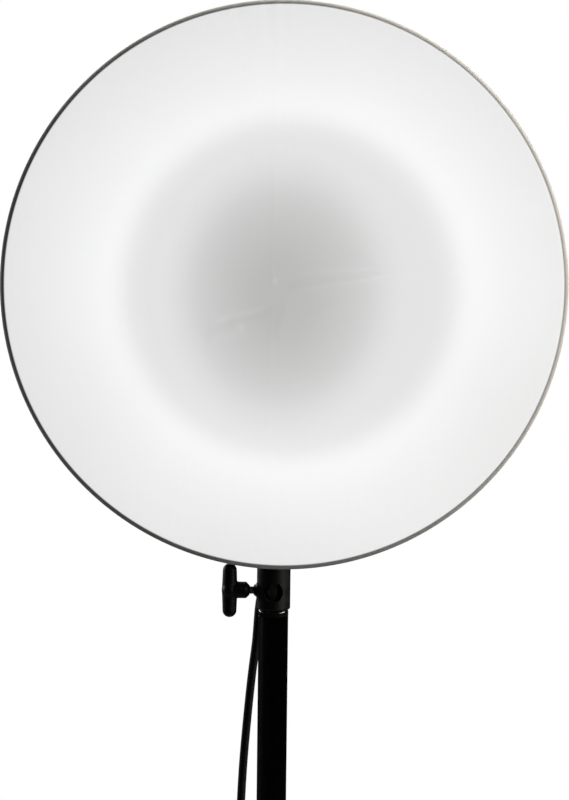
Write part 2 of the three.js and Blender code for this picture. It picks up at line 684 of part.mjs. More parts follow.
housing();
reflector();
ringTubes();
tubeClips();
diffuser();
controlBox();
tiltBracket();
socket();
mast();
baseTube();
slidingCollar();
fixedHub();
legs();
mainsLead();

export default object;
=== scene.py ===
"""A ring lamp with a stretch diffuser, on a light stand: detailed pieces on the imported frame.

Sizes are in mm, measured from the lamp's centre or the stand's axis; make() turns them into metres.
"""
import json
import math
import random

import bmesh
import bpy
import numpy as np
from mathutils import Matrix, Vector

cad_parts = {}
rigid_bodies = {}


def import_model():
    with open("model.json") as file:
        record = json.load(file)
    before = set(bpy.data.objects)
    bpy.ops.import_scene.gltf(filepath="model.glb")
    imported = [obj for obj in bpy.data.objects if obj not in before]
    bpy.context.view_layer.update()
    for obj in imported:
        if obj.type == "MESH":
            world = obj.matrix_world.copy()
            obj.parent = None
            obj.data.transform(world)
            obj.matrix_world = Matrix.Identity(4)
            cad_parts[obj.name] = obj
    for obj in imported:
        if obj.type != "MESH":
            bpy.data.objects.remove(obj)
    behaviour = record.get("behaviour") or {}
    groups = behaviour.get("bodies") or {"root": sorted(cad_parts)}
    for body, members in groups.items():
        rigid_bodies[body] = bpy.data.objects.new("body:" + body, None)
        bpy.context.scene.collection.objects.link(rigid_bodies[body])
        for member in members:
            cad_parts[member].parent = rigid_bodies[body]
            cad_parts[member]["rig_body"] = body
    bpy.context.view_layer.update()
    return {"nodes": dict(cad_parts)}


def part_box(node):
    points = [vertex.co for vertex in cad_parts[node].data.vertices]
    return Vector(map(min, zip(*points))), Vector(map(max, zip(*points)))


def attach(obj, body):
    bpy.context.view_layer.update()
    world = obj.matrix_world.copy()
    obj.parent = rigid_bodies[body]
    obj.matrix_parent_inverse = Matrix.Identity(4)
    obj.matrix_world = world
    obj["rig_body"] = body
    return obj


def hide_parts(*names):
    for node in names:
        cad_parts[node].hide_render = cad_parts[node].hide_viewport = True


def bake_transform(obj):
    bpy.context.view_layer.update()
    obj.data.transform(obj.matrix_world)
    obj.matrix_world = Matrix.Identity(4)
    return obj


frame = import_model()
NODES = frame["nodes"]
MM = 0.001
WELD = 1e-6              # metres, between points taken as one
CAD_WELD = 2e-5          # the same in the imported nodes
rng = random.Random(7)


def middle(node):
    low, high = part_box(node)
    return (low + high) / 2


# ---- Places, in metres ----
AXIS = Vector((middle("mast_tube").x, middle("mast_tube").y, 0))      # of the stand
LAMP = Vector((middle("housing_shell").x, AXIS.y, middle("housing_shell").z))
SOCKET = Vector((AXIS.x, AXIS.y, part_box("socket_body")[0].z))
PIVOT = Vector((AXIS.x, AXIS.y, middle("tilt_bolt").z))
MAST_TOP = Vector((AXIS.x, AXIS.y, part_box("mast_end_plug")[1].z))

# ---- Sizes, in mm ----
CLOTH_R = 228
CLOTH_FRONT = -90
CLOTH_EDGE = 5
CLOTH_END = -34
LIT_R = 223.8            # the housing's lip shades the cloth beyond this
LIT_FADE = (-0.5, 0.7)   # where that edge starts and ends, from LIT_R
HOUSING_R = 227
HOLE_R = 139
PAN_BACK = -28
WALL = 2
TUBE_R = 8
TUBE_RINGS = {"outer": 200, "inner": 163}
TUBE_Y = -62
TUBE_GAP = 32.8
BOX_LOW = -190
BOX_BACK = 26
GLAND = (-8.5, 20)
SOCKET_R = 14.4
SOCKET_H = 39
BORE_R = 8.25
BORE_TOP = 28
CROSS_R = 8.15
CROSS_Z = 16.3
CLAMP_Z = 16
BAR_X = -37.8            # of the T handle, from the socket's axis
BAR_R = 6.1
BAR_REACH = 16.9         # to the centre of its top ball
BAR_LOW_MORE = 0.7       # the low ball is that much further
SPIGOT_R = 7.95
MAST_R = 12.8
MAST_BORE = 11.3
PLUG_SKIRT = -4.6        # the mast's end plug covers the tube down to here
PLUG_LIP = 0.9
BASE_R = 15
BASE_BORE = 13.8
LEG_ANGLE = math.radians(50)
LEG_LENGTH = 430
LEG_R = 33
LEG_Z = 287.399
LEG_OVAL = (18, 10)
LEG_WALL = 1.2
STRUT_AT = 180           # down the leg from its pin
STRUT_R = 5
STRUT_Y = (5.4, 8.4)     # beside the leg
PIN_R = 2.5
PIN_HOLE_R = 2.8
PIN_HEAD_R = 4.2
HUB_R = 32
HUB_Z = 99.4
AZIMUTHS = (90, 210, 330)
LEAD_R = 3.7
COIL = (-150, 50)
COIL_TURN_R = 50
COIL_PITCH = 7.8
COIL_LOW_Z = 3.8
COIL_STEP_Z = 7.6
COIL_TURNS = 2.5         # in each of two layers
PLUG = (-202, -14.3, 9.2)
BLADE_X = 6.35           # either side of the plug's middle
FLOOR_R = 2050

# ---- Camera ----
CAMERA_REACH = 1.400     # from the cloth's front
SENSOR = 24.0
LENS = 52.46
CAMERA_SIDE = 0.010      # from the lamp's centre
PITCH = 3.685
YAW = -0.347
ROLL = 0.66

scene = bpy.context.scene
camera = bpy.data.objects.new("camera", bpy.data.cameras.new("camera"))
scene.collection.objects.link(camera)
camera.data.sensor_fit = "VERTICAL"
camera.data.sensor_height = SENSOR
camera.data.lens = LENS
camera.data.clip_start = 0.05
camera.data.clip_end = 50
camera.matrix_world = (
    Matrix.Translation(LAMP + Vector((CAMERA_SIDE, CLOTH_FRONT * MM - CAMERA_REACH, 0)))
    @ Matrix.Rotation(-math.radians(YAW), 4, "Z")
    @ Matrix.Rotation(math.radians(90 - PITCH), 4, "X")
    @ Matrix.Rotation(math.radians(ROLL), 4, "Z")
)
scene.camera = camera


# ---- Mesh helpers ----
PLANES = {
    "X": lambda u, v, h: (h, u, v),
    "Y": lambda u, v, h: (u, h, v),
    "Z": lambda u, v, h: (u, v, h),
}


def make(name, verts, faces, at=(0, 0, 0), turn=None):
    """A closed mesh from points in mm, moved to a place in metres."""
    mesh = bpy.data.meshes.new(name)
    mesh.from_pydata([Vector(v) * MM for v in verts], [], faces)
    obj = bpy.data.objects.new(name, mesh)
    scene.collection.objects.link(obj)
    clean(obj)
    mesh.transform(Matrix.Translation(at) @ (turn or Matrix.Identity(4)))
    return obj


def clean(obj):
    """Merges points in one place and turns every face outwards."""
    bm = bmesh.new()
    bm.from_mesh(obj.data)
    bmesh.ops.remove_doubles(bm, verts=bm.verts, dist=WELD)
    bmesh.ops.recalc_face_normals(bm, faces=bm.faces)
    bm.to_mesh(obj.data)
    bm.free()


def modify(obj, kind, **settings):
    """Adds a modifier and makes its result the mesh."""
    modifier = obj.modifiers.new(kind.lower(), kind)
    for key, value in settings.items():
        setattr(modifier, key, value)
    bpy.context.view_layer.update()
    graph = bpy.context.evaluated_depsgraph_get()
    made = bpy.data.meshes.new_from_object(obj.evaluated_get(graph))
    obj.modifiers.clear()
    obj.data = made
    return obj


def boolean(obj, *tools, operation="DIFFERENCE"):
    """Cuts the tools out of the mesh and removes them."""
    for tool in tools:
        modify(obj, "BOOLEAN", operation=operation, object=tool, solver="EXACT")
        bpy.data.objects.remove(tool)
    clean(obj)
    return obj


def union(obj, *others):
    return boolean(obj, *others, operation="UNION")


def soften(obj, width, angle=35, segments=2):
    """Rounds the edges sharper than angle."""
    return modify(
        obj, "BEVEL", width=width * MM, segments=segments,
        limit_method="ANGLE", angle_limit=math.radians(angle), use_clamp_overlap=True,
    )


def on_circle(cx, cy, r, degrees):
    angle = math.radians(degrees)
    return cx + r * math.cos(angle), cy + r * math.sin(angle)


def arc(cx, cy, r, start, end, steps):
    return [on_circle(cx, cy, r, start + (end - start) * k / steps) for k in range(steps + 1)]


def around(steps):
    """Equal turns round a whole circle, in radians."""
    return [2 * math.pi * k / steps for k in range(steps)]


def hexagon(r):
    return arc(0, 0, r, 0, 300, 5)


def eased(points, radius, ring=True):
    """The outline with its corners rounded. A ring's outline closes on itself."""
    steps = 3                # to a corner
    straight = 0.1           # radians
    out = []
    count = len(points)
    for i, p in enumerate(points):
        if not ring and i in (0, count - 1):
            out.append(p)
            continue
        corner = Vector(p)
        back = Vector(points[i - 1]) - corner
        on = Vector(points[(i + 1) % count]) - corner
        reach = min(radius, 0.45 * back.length, 0.45 * on.length)
        if abs(back.angle(on) - math.pi) < straight:
            out.append(p)
            continue
        first = corner + back.normalized() * reach
        last = corner + on.normalized() * reach
        for k in range(steps + 1):
            t = k / steps
            out.append(tuple((1 - t) ** 2 * first + 2 * t * (1 - t) * corner + t * t * last))
    return out


def rounded_box(x0, x1, y0, y1, r, steps=6):
    return (
        arc(x1 - r, y0 + r, r, -90, 0, steps) + arc(x1 - r, y1 - r, r, 0, 90, steps)
        + arc(x0 + r, y1 - r, r, 90, 180, steps) + arc(x0 + r, y0 + r, r, 180, 270, steps)
    )


def flat_oval(width, thickness):
    """Two half circles joined by straight sides."""
    steps = 10
    r = thickness / 2
    half = width / 2 - r
    return arc(half, 0, r, -90, 90, steps) + arc(-half, 0, r, 90, 270, steps)


def rings(name, rows, at, turn=None, ring=False, ends=False):
    """A skin over rows of points of equal count."""
    count = len(rows[0])
    faces = []
    for i in range(len(rows) if ring else len(rows) - 1):
        a, b = i * count, (i + 1) % len(rows) * count
        for k in range(count):
            n = (k + 1) % count
            faces.append((a + k, a + n, b + n, b + k))
    if ends:
        faces.append(tuple(range(count)))
        faces.append(tuple(range((len(rows) - 1) * count, len(rows) * count)))
    return make(name, [p for row in rows for p in row], faces, at, turn)


def lathe(name, profile, at, axis="Z", steps=64, ring=False, turn=None):
    """A profile of (radius, height) turned about an axis. A ring's profile closes on itself."""
    rows = [
        [PLANES[axis](r * math.cos(a), r * math.sin(a), h) for a in around(steps)]
        for r, h in profile
    ]
    return rings(name, rows, at, turn, ring)


def prism(name, outline, low, high, at, axis="Z", inner=None, turn=None):
    """An outline drawn out along an axis; with an inner outline, a tube."""
    put = PLANES[axis]
    ends = [[put(u, v, h) for u, v in outline] for h in (low, high)]
    if inner is None:
        return rings(name, ends, at, turn, ends=True)
    bores = [[put(u, v, h) for u, v in inner] for h in (high, low)]
    return rings(name, ends + bores, at, turn, ring=True)


def rod(low, high, r, at, axis="Z", steps=48, turn=None):
    return lathe("rod", [(0, low), (r, low), (r, high), (0, high)], at, axis, steps, turn=turn)


def sweep(name, line, radius, sides, at):
    """A round rod along a line, flat at its ends."""
    points = [Vector(p) for p in line]
    ahead = [(points[min(i + 1, len(points) - 1)] - points[max(i - 1, 0)]).normalized()
             for i in range(len(points))]
    side = ahead[0].orthogonal().normalized()
    rows = []
    for i, p in enumerate(points):
        side = (side - ahead[i] * side.dot(ahead[i])).normalized()
        over = ahead[i].cross(side)
        rows.append([
            p + radius * (math.cos(a) * side + math.sin(a) * over) for a in around(sides)])
    return rings(name, rows, at, ends=True)


def blend(a, b, start, end, x):
    """What lies at x on the way from a at start to b at end."""
    return ((end - x) * a + (x - start) * b) / (end - start)


def smooth_line(points, steps):
    """A centripetal Catmull-Rom line through the points."""
    p = [Vector(q) for q in points]
    p = [2 * p[0] - p[1], *p, 2 * p[-1] - p[-2]]
    out = []
    for i in range(1, len(p) - 2):
        q = p[i - 1:i + 3]
        t = [0.0]
        for a, b in zip(q, q[1:]):
            t.append(t[-1] + max((b - a).length, 1e-6) ** 0.5)
        for k in range(steps):
            x = t[1] + (t[2] - t[1]) * k / steps
            a = [blend(q[j], q[j + 1], t[j], t[j + 1], x) for j in range(3)]
            b = [blend(a[j], a[j + 1], t[j], t[j + 2], x) for j in range(2)]
            out.append(blend(b[0], b[1], t[1], t[2], x))
    out.append(p[-2])
    return out


# ---- Material helpers ----
NOISE_SPAN = (0.3, 0.7)      # nearly all of a noise's values
PATCH_SCALE = 60             # noises, in waves to a metre
SMEAR_SCALE = 140
SCUFF_SCALE = 900
WORN_EDGE = (0.54, 0.62)     # pointiness where wear begins and where it is full


def new_material(name):
    material = bpy.data.materials.new(name)
    material.use_nodes = True
    return material, material.node_tree, material.node_tree.nodes["Principled BSDF"]


def add(tree, kind, values=None, **settings):
    made = tree.nodes.new("ShaderNode" + kind)
    for key, value in settings.items():
        setattr(made, key, value)
    for key, value in (values or {}).items():
        if isinstance(value, bpy.types.NodeSocket):
            tree.links.new(value, made.inputs[key])
        else:
            made.inputs[key].default_value = value
    return made


def maths(tree, operation, a, b=0.0):
    return add(tree, "Math", {0: a, 1: b}, operation=operation).outputs[0]


def noise(tree, place, scale, detail=3.0, stretch=(1, 1, 1)):
    mapped = add(tree, "Mapping", {"Vector": place, "Scale": stretch}).outputs[0]
    values = {"Vector": mapped, "Scale": scale, "Detail": detail}
    return add(tree, "TexNoise", values).outputs[0]


def spread(tree, value, low, high):
    """A noise's values, spread over low to high."""
    limits = {1: NOISE_SPAN[0], 2: NOISE_SPAN[1], 3: low, 4: high}
    return add(tree, "MapRange", {0: value, **limits}).outputs[0]


def two_tone(tree, factor, first, second):
    mix = add(tree, "Mix", data_type="RGBA")
    tree.links.new(factor, mix.inputs[0])
    mix.inputs[6].default_value = (*first, 1)
    mix.inputs[7].default_value = (*second, 1)
    return mix.outputs[2]


def surface(name, colours, rough, grain, depth, worn=None, metal=0.0, stretch=(1, 1, 1),
            **sockets):
    """Two close colours and two roughnesses in patches, and a fine grain, its size and depth
    in mm. worn is the colour that shows at worn edges."""
    material, tree, shader = new_material(name)
    place = add(tree, "TexCoord").outputs["Object"]
    patches = noise(tree, place, PATCH_SCALE, 4, stretch)
    colour = two_tone(tree, spread(tree, patches, 0, 1), *colours)
    if worn:
        edge = add(tree, "NewGeometry").outputs["Pointiness"]
        scuffs = noise(tree, place, SCUFF_SCALE, 5)
        ridge = add(tree, "MapRange", {0: edge, 1: WORN_EDGE[0], 2: WORN_EDGE[1]}).outputs[0]
        rubbed = maths(tree, "MULTIPLY", ridge, spread(tree, scuffs, 0, 1))
        mix = add(tree, "Mix", {0: rubbed, 6: colour, 7: (*worn, 1)}, data_type="RGBA")
        colour = mix.outputs[2]
    tree.links.new(colour, shader.inputs["Base Color"])
    smears = noise(tree, place, SMEAR_SCALE, 5, stretch)
    tree.links.new(spread(tree, smears, *rough), shader.inputs["Roughness"])
    fine = noise(tree, place, 1000 / grain, 2, stretch)
    bump = add(tree, "Bump", {"Height": fine, "Distance": depth * MM, "Strength": 1.0})
    tree.links.new(bump.outputs[0], shader.inputs["Normal"])
    shader.inputs["Metallic"].default_value = metal
    for key, value in sockets.items():
        shader.inputs[key.replace("_", " ")].default_value = value
    return material


# ---- Cloth: its glow at distances in mm from the lamp's centre ----
CORE_SHIFT = (-1.2, -5.2)
CORE_STRETCH = (1.09, 0.92)     # the dark middle is taller than it is wide
CORE_GLOW = [
    (0, 0.410), (20, 0.422), (38, 0.466), (58, 0.522), (77, 0.592), (86, 0.640), (96, 0.676),
    (106, 0.699), (116, 0.692), (CLOTH_R, 0.692),
]
RING_SHIFT = (5.0, -1.9)
RING_GLOW = [
    (0, 0), (114, 0), (120, 0.015), (125, 0.034), (130, 0.063), (134.5, 0.102), (139, 0.132),
    (144, 0.157), (149, 0.163), (158, 0.150), (168, 0.130), (187, 0.096), (206, 0.064),
    (CLOTH_R, 0.028),
]
# Where tube clips and the tubes' ends dim the cloth: azimuth, distance, size in mm, share
DIM_SPOTS = [(212, 190, 85, 0.045), (328, 180, 90, 0.065), (268, 212, 100, 0.04)]
GLOW_COLOUR = (0.988, 1.0, 1.003, 1)
CLOUDS = (0.992, 1.008)         # how uneven the glow is
CLOTH_COLOURS = ((0.80, 0.79, 0.77), (0.86, 0.85, 0.83))
KNIT = 0.9                      # width of a stitch, in mm
KNIT_DEPTH = 0.12


def cloth_material():
    """White stretch cloth, lit from behind by the ring tubes."""
    material, tree, shader = new_material("cloth")
    place = add(tree, "TexCoord").outputs["Object"]

    def reach(dx, dz, across=1, up=1):
        """The distance from a point beside the lamp's centre, as a share of the cloth's radius."""
        centre = (LAMP.x + dx * MM, 0, LAMP.z + dz * MM)
        away = add(tree, "VectorMath", {0: place, 1: centre}, operation="SUBTRACT").outputs[0]
        flat = add(tree, "VectorMath", {0: away, 1: (across, 0, up)}, operation="MULTIPLY")
        length = add(tree, "VectorMath", {0: flat.outputs[0]}, operation="LENGTH")
        return maths(tree, "DIVIDE", length.outputs["Value"], CLOTH_R * MM)

    def falloff(distance, stops):
        """The level at a distance, on a smooth curve through the stops."""
        curve = add(tree, "FloatCurve", {"Value": distance})
        line = curve.mapping.curves[0]
        for (r, level), point in zip((stops[0], stops[-1]), line.points):
            point.location = (r / CLOTH_R, level)
        for r, level in stops[1:-1]:
            line.points.new(r / CLOTH_R, level)
        curve.mapping.update()
        return curve.outputs[0]

    core = falloff(reach(*CORE_SHIFT, *CORE_STRETCH), CORE_GLOW)
    ring = falloff(reach(*RING_SHIFT), RING_GLOW)
    lit = add(tree, "MapRange", {
        0: reach(0, 0), 1: (LIT_R + LIT_FADE[0]) / CLOTH_R, 2: (LIT_R + LIT_FADE[1]) / CLOTH_R,
        3: 1.0, 4: 0.0,
    }, interpolation_type="SMOOTHSTEP").outputs[0]
    clouds = spread(tree, noise(tree, place, 9, 2), *CLOUDS)
    folds = add(tree, "Attribute", attribute_name="fold_light").outputs["Fac"]
    glow = maths(tree, "ADD", core, ring)
    for factor in (clouds, maths(tree, "ADD", folds, 1.0), lit):
        glow = maths(tree, "MULTIPLY", glow, factor)
    tree.links.new(glow, shader.inputs["Emission Strength"])
    shader.inputs["Emission Color"].default_value = GLOW_COLOUR

    colour = two_tone(tree, noise(tree, place, 40, 4), *CLOTH_COLOURS)
    tree.links.new(colour, shader.inputs["Base Color"])
    knit = 2 * math.pi / (20 * KNIT * MM)       # a wave texture runs 20 radians to a metre
    rows, ribs = (
        add(tree, "TexWave", {"Vector": place, "Scale": knit, "Distortion": 0.6},
            bands_direction=axis).outputs["Fac"]
        for axis in "XZ")
    weave = maths(tree, "MULTIPLY", rows, ribs)
    bump = add(tree, "Bump", {"Height": weave, "Distance": KNIT_DEPTH * MM, "Strength": 0.6})
    tree.links.new(bump.outputs[0], shader.inputs["Normal"])
    shader.inputs["Roughness"].default_value = 0.9
    shader.inputs["Sheen Weight"].default_value = 0.15
    shader.inputs["Specular IOR Level"].default_value = 0.2
    return material


# ---- Finishes ----
FINISHES = {
    "black_plastic": dict(
        colours=((0.0025, 0.0025, 0.0027), (0.0045, 0.0045, 0.0048)),
        rough=(0.38, 0.52), grain=0.5, depth=0.02,
        worn=(0.03, 0.03, 0.03), Specular_IOR_Level=0.35),
    "black_shell": dict(
        colours=((0.012, 0.012, 0.013), (0.017, 0.017, 0.018)),
        rough=(0.5, 0.62), grain=0.9, depth=0.05,
        worn=(0.06, 0.06, 0.06)),
    "gloss_plastic": dict(
        colours=((0.010, 0.010, 0.011), (0.014, 0.014, 0.015)),
        rough=(0.2, 0.3), grain=0.8, depth=0.004),
    "black_paint": dict(
        colours=((0.0012, 0.0012, 0.0012), (0.002, 0.002, 0.0021)),
        rough=(0.3, 0.44), grain=1.6, depth=0.015,
        worn=(0.10, 0.10, 0.10), Specular_IOR_Level=0.3),
    "rubber": dict(
        colours=((0.005, 0.005, 0.005), (0.009, 0.009, 0.0093)),
        rough=(0.5, 0.66), grain=0.4, depth=0.03,
        worn=(0.03, 0.03, 0.03), Specular_IOR_Level=0.35),
    "white_enamel": dict(
        colours=((0.80, 0.80, 0.78), (0.84, 0.84, 0.82)),
        rough=(0.25, 0.36), grain=2.5, depth=0.02),
    "white_plastic": dict(
        colours=((0.74, 0.73, 0.69), (0.80, 0.79, 0.75)),
        rough=(0.38, 0.5), grain=0.8, depth=0.02),
    "tube_glass": dict(
        colours=((0.86, 0.87, 0.86), (0.90, 0.91, 0.90)),
        rough=(0.12, 0.2), grain=3.0, depth=0.004,
        Emission_Color=(0.98, 1.0, 0.99, 1), Emission_Strength=1.6),
    "elastic": dict(
        colours=((0.66, 0.65, 0.61), (0.76, 0.75, 0.71)),
        rough=(0.8, 0.95), grain=0.8, depth=0.12,
        Sheen_Weight=0.2),
    "steel": dict(
        colours=((0.50, 0.50, 0.51), (0.60, 0.60, 0.60)),
        rough=(0.24, 0.38), grain=0.5, depth=0.008,
        metal=1.0),
    "alloy": dict(
        colours=((0.16, 0.16, 0.16), (0.24, 0.24, 0.235)),
        rough=(0.2, 0.34), grain=0.5, depth=0.01,
        metal=1.0, stretch=(1, 1, 0.05)),
    "brass": dict(
        colours=((0.24, 0.18, 0.11), (0.34, 0.26, 0.16)),
        rough=(0.24, 0.38), grain=0.5, depth=0.008,
        metal=1.0),
    "ballast_can": dict(
        colours=((0.42, 0.42, 0.43), (0.52, 0.52, 0.53)),
        rough=(0.4, 0.55), grain=3.0, depth=0.03,
        metal=0.8),
    "gloss_black": dict(
        colours=((0.004, 0.004, 0.004), (0.006, 0.006, 0.006)),
        rough=(0.08, 0.14), grain=0.9, depth=0.002,
        Coat_Weight=1.0, Coat_Roughness=0.06),
    "loop_tape": dict(
        colours=((0.010, 0.010, 0.011), (0.018, 0.018, 0.019)),
        rough=(0.8, 0.95), grain=0.7, depth=0.15),
}
MATERIALS = {name: surface(name, **look) for name, look in FINISHES.items()}
MATERIALS["cloth"] = cloth_material()


def piece(obj, finish, *nodes, body=None, slot=None, angle=40, weighted=True):
    """Gives a mesh its material and shading, and puts it on the body of the node it stands for."""
    obj.data.materials.clear()
    obj.data.materials.append(MATERIALS[finish])
    obj.data.shade_smooth()
    obj.data.set_sharp_from_angle(angle=math.radians(angle))
    if weighted:
        normals = obj.modifiers.new("normals", "WEIGHTED_NORMAL")
        normals.keep_sharp = True
    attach(obj, body or NODES[nodes[0]]["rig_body"])
    if nodes:
        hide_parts(*nodes)
    return obj


def refined(node, slot, width, segments=2):
    """A copy of a CAD node with its edges rounded."""
    bm = bmesh.new()
    bm.from_mesh(NODES[node].data)
    bmesh.ops.remove_doubles(bm, verts=bm.verts, dist=CAD_WELD)
    bmesh.ops.dissolve_limit(bm, angle_limit=math.radians(1), verts=bm.verts, edges=bm.edges)
    mesh = bpy.data.meshes.new(node + "_look")
    bm.to_mesh(mesh)
    bm.free()
    normals = mesh.attributes.get("custom_normal")
    if normals is not None:
        mesh.attributes.remove(normals)
    obj = bpy.data.objects.new(node + "_look", mesh)
    scene.collection.objects.link(obj)
    soften(obj, width, segments=segments)
    return piece(obj, slot, node)


# ---- Mains lead: down the stand, a coil on the floor, a tail and a plug ----
def lead_points():
    """The route from the gland to the plug, in mm from the stand's axis."""
    route = [
        (-2, 20, 959), (-2, 20, 941), (-5.5, 20.4, 908), (-12.2, 21, 876), (-14.9, 22, 842),
        (-18.5, 24, 811), (-22.2, 26, 772), (-25.7, 28, 726), (-28, 31, 670), (-31.2, 38, 560),
        (-36, 46, 450), (-44, 56, 330), (-54, 67, 210), (-66, 80, 112), (-78, 90, 46),
        (-91, 96, 17), (-105, 99.2, 6.2), (-121.8, 100, 3.9),
    ]
    steps = 24                       # points to a turn
    turns = COIL_TURNS * steps
    climb = steps // 4
    for k in range(int(2 * turns) + climb + 1):
        angle = 90 + 360 * k / steps
        inward = min(k, turns) / steps
        outward = max(k - turns - climb, 0) / steps
        r = COIL_TURN_R - COIL_PITCH * (inward - outward)
        rise = min(max((k - turns) / climb, 0), 1)
        x, y = on_circle(*COIL, r, angle)
        route.append((x, y, COIL_LOW_Z + COIL_STEP_Z * rise * rise * (3 - 2 * rise)))
    return route + [(-200, 35, 11.4), (-200, 21.8, 11.4), (-200.6, 10, 10.3), (-201.4, -2, 9.4),
                    (PLUG[0], PLUG[1] - 3, PLUG[2])]


def plug():
    """A moulded two-pin plug with finger grips and a ribbed neck."""
    at = AXIS + Vector(PLUG) * MM
    body = prism("plug", rounded_box(-12, 12, -9.1, 9.1, 4.4), -42, -12, at, "Y")
    soften(body, 2.0, segments=4)
    for side in (-1, 1):
        low, high = sorted((side * 11.2, side * 14))
        for k in range(5):
            y = -36 + 4.6 * k
            groove = rounded_box(low, high, -5, 5, 1)
            boolean(body, prism("groove", groove, y, y + 1.6, at, "Y"))
    neck = [(0, -13), (6.4, -13), (6.4, -11.5)]
    for k in range(4):
        y = -10.6 + 2.8 * k
        r, rib_r = 5.0 - 0.15 * k, 6.0 - 0.3 * k
        neck += [(r, y), (r, y + 0.9), (rib_r, y + 1.2), (rib_r, y + 2.4)]
    neck += [(4.4, 0), (LEAD_R + 0.1, 0), (0, 0)]
    union(body, lathe("neck", neck, at, "Y", 32))
    piece(body, "rubber", "plug_body")
    blades = []
    for i, side in enumerate((-1, 1)):
        middle_at = at + Vector((side * BLADE_X, 0, 0)) * MM
        hole_at = at + Vector((side * BLADE_X, -54.5, 0)) * MM
        outline = rounded_box(-58.6, -42, -3.15, 3.15, 1.2, 3)
        blade = prism(f"blade_{i + 1}", outline, -0.75, 0.75, middle_at, "X")
        boolean(blade, rod(-2, 2, 1.6, hole_at, "X", 24))
        soften(blade, 0.2)
        blades.append(piece(blade, "brass", f"plug_blade_{i + 1}"))
    return [body, *blades]


def coil_tie():
    """A hook-and-loop tie round the coil, with its loose end on top."""
    azimuth = math.radians(300)
    width = 11
    inner, outer, top = 25.6, 54.8, 15.6
    loop = rounded_box(inner, outer, 0.02, top, 5.5, 5)
    loop_in = rounded_box(inner + 1, outer - 1, 0.45, top - 1, 4.7, 5)
    at = AXIS + Vector((*COIL, 0)) * MM
    turn = Matrix.Rotation(azimuth, 4, "Z")
    band = prism("coil_tie", loop, -width / 2, width / 2, at, "Y", inner=loop_in, turn=turn)
    flap = [(30, top - 0.1), (50, top - 0.1), (52, top + 0.3), (52, top + 1.1), (30, top + 0.9)]
    union(band, prism("flap", eased(flap, 0.4), -width / 2, width / 2, at, "Y", turn=turn))
    soften(band, 0.2)
    return piece(band, "loop_tape", body="base", slot="rubber")


def lead():
    route = lead_points()
    at = AXIS
    line = smooth_line(route, 4)
    tube = sweep("mains_lead_look", line, LEAD_R, 14, at)
    tube.data.materials.append(MATERIALS["rubber"])
    tube.data.shade_smooth()
    tube.data.set_sharp_from_angle(angle=math.radians(50))
    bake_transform(tube)
    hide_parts("mains_lead", "lead_coil", "lead_tail")
    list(plug())
    coil_tie()


# ---- Diffuser cloth ----
# Creases, each from a point to a point in mm from the lamp's centre, with its width and height
FOLDS = [
    ((-7.0, 205), (-12.0, -200), 1.8, 0.07),      # packing fold, upright
    ((-100, -1.0), (-8, 1.0), 1.8, 0.05),         # packing fold, across
    ((60, 8.5), (165, 19.0), 1.8, 0.14),
    ((6, -1), (74, 9.8), 2.6, 0.65),
    ((18, 10.5), (72, 13.2), 2.6, -0.6),
    ((-7, 5), (8, 5.5), 2.6, -0.5),
    ((3, -12), (-4, -40), 4.0, 0.2),
    ((22, -17.5), (42, -15.8), 2.2, 0.3),
    ((-50, -28), (-10, -18), 3.0, -0.6),
    ((-60, -40), (-34, -32), 5.0, 0.6),
    ((179, -21), (219, -37), 2.0, 0.35),
    ((-44, 217), (-17, 169), 1.8, -0.16),
    ((-31, 215), (-8, 181), 1.8, 0.12),
    ((38, 197), (86, 181), 2.2, -0.14),
    ((-34, 172), (-22, 176), 3.0, 0.22),
    ((-4, 163), (9, 160), 3.0, 0.22),
    ((-52, -196), (-48, -209), 2.0, 0.1),
    ((-19, -201), (-16, -214), 2.0, 0.1),
    ((120, -168), (132, -178), 2.4, 0.1),
]
STAR = (-0.8, 5.2)          # where the packing folds cross and the cloth puckers
STAR_RAYS = 9
PUCKERS = (85.5, 104.5)     # azimuths of the gathers at the top of the edge
PUCKER_HEIGHT = 0.18
SEAM_AZIMUTH = 90.4
SEAM_WIDTH = 0.35           # degrees
SEAM_DEPTH = 0.2
FOLD_LIGHT = 0.3            # how much a slope darkens or lightens the lit cloth
FOLD_LIGHT_MOST = 0.05
FOLD_STEP = (0.1, 0.4)      # the direction of the slopes, and half their span in mm
HEM_GATHERS = 90            # of uneven depth
HEM_WAVES = 150


def crease(x, z, start, end, width, height):
    """The height of one crease, which fades towards its ends."""
    a, b = np.array(start, float), np.array(end, float)
    run = b - a
    length = np.hypot(*run)
    along = ((x - a[0]) * run[0] + (z - a[1]) * run[1]) / length
    across = ((x - a[0]) * run[1] - (z - a[1]) * run[0]) / length
    ends = np.clip(np.minimum(along, length - along) / (0.25 * length) + 0.5, 0, 1)
    return height * np.exp(-(across / width) ** 2) * ends * ends * (3 - 2 * ends)


def relief(x, z, rays):
    """How far the cloth stands proud of its plane, in mm."""
    out = np.zeros_like(x)
    for fold in [*FOLDS, *rays]:
        out += crease(x, z, *fold)
    r = np.hypot(x, z)
    azimuth = np.degrees(np.arctan2(z, x))
    inside = np.clip((azimuth - PUCKERS[0]) / 4, 0, 1) * np.clip((PUCKERS[1] - azimuth) / 5, 0, 1)
    near_edge = np.clip((r - 158) / 66, 0, 1) ** 1.5
    wave = np.sin(np.radians(azimuth) * 118) + 0.6 * np.sin(np.radians(azimuth) * 71 + 1.1)
    out += PUCKER_HEIGHT * inside * near_edge * wave
    seam = np.exp(-((azimuth - SEAM_AZIMUTH) / SEAM_WIDTH) ** 2) * np.clip((r - 200) / 24, 0, 1)
    return out - SEAM_DEPTH * seam


